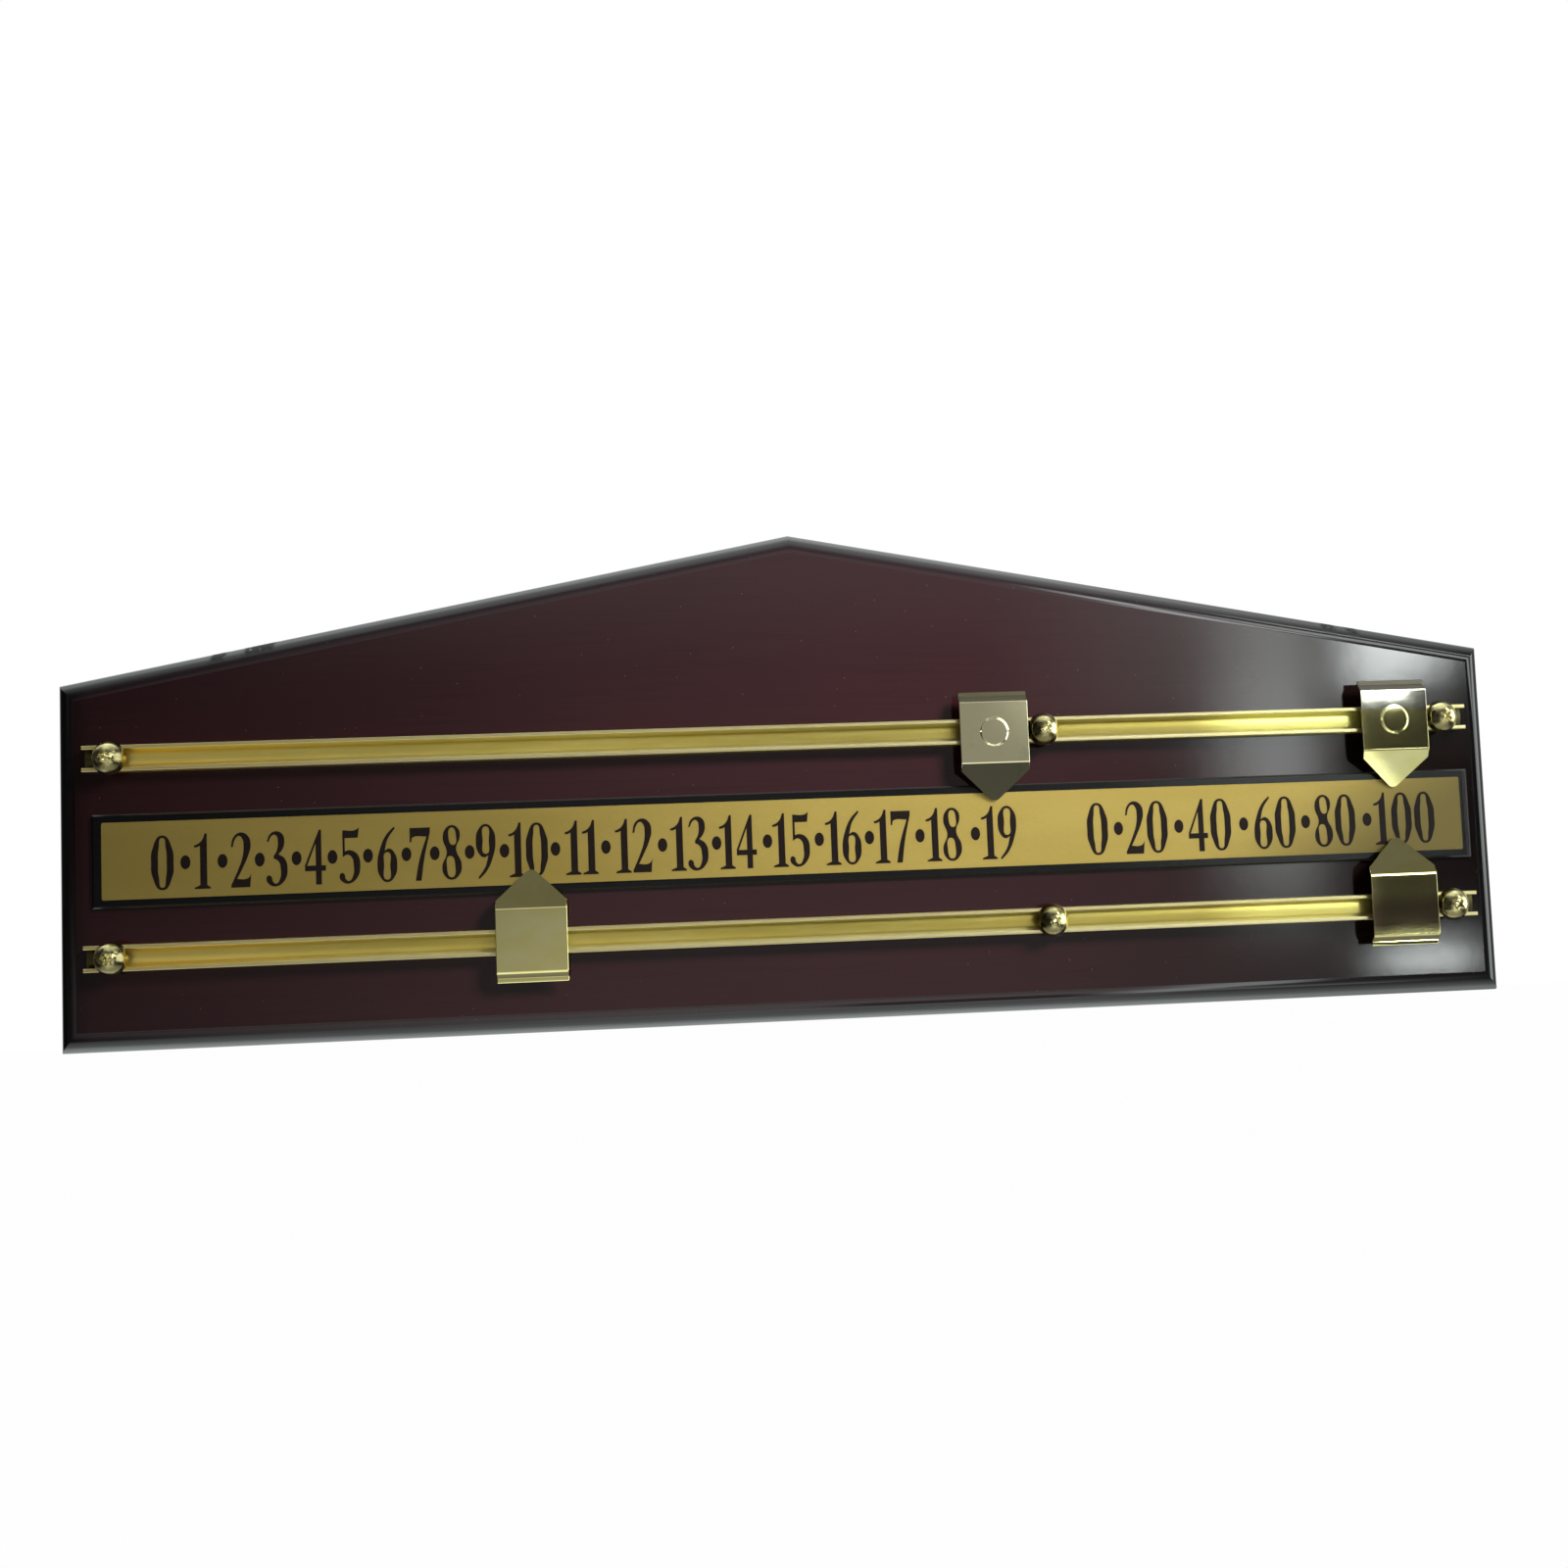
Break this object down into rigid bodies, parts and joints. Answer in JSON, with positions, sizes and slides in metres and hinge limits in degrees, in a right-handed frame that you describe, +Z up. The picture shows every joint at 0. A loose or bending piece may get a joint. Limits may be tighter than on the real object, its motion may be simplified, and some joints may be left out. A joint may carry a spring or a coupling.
{
  "type": "billiard scoreboard",
  "caption": "Wall-hung billiard scoreboard: a gabled lacquered board with a brass number scale between two open rails, and folded brass pointers that slide along them.",
  "frame": {"origin": "on the wall plane at the board's back, midway between the round holes of the two keyholes", "axes": "+X to the right for a viewer in front of the board, +Y into the wall, +Z up"},
  "size_m": [0.6, 0.0295, 0.205],
  "materials": {
    "board_lacquer": "dark red-brown lacquer, satin to gloss",
    "backing_black": "glossy black, bevelled edge",
    "plate_brass": "satin brass with printed dark numbers and dots",
    "rail_brass": "polished drawn brass",
    "screw_brass": "polished brass dome",
    "pointer_brass": "brushed brass sheet",
    "runner_plastic": "plain black moulding",
    "hanger_steel": "zinc-plated sheet and screws"
  },
  "bodies": {
    "board_unit": {"board": "board_lacquer", "scale_backing": "backing_black", "scale_plate": "plate_brass", "upper_rail": "rail_brass", "upper_rail_screws": "screw_brass", "lower_rail": "rail_brass", "lower_rail_screws": "screw_brass", "left_hanger": "hanger_steel", "left_hanger_lower_screw": "hanger_steel", "left_hanger_upper_screw": "hanger_steel", "right_hanger": "hanger_steel", "right_hanger_lower_screw": "hanger_steel", "right_hanger_upper_screw": "hanger_steel"},
    "upper_left_slider": {"upper_left_pointer": "pointer_brass", "upper_left_runner": "runner_plastic"},
    "upper_right_slider": {"upper_right_pointer": "pointer_brass", "upper_right_runner": "runner_plastic"},
    "lower_left_slider": {"lower_left_pointer": "pointer_brass", "lower_left_runner": "runner_plastic"},
    "lower_right_slider": {"lower_right_pointer": "pointer_brass", "lower_right_runner": "runner_plastic"}
  },
  "joints": [
    {"name": "upper_left_slide", "type": "slide", "parent": "board_unit", "child": "upper_left_slider", "axis": [1, 0, 0], "range_m": [-0.3362, 0]},
    {"name": "upper_right_slide", "type": "slide", "parent": "board_unit", "child": "upper_right_slider", "axis": [1, 0, 0], "range_m": [-0.1292, 0.0004]},
    {"name": "lower_left_slide", "type": "slide", "parent": "board_unit", "child": "lower_left_slider", "axis": [1, 0, 0], "range_m": [-0.1438, 0.1924]},
    {"name": "lower_right_slide", "type": "slide", "parent": "board_unit", "child": "lower_right_slider", "axis": [1, 0, 0], "range_m": [-0.1289, 0.0007]}
  ]
}
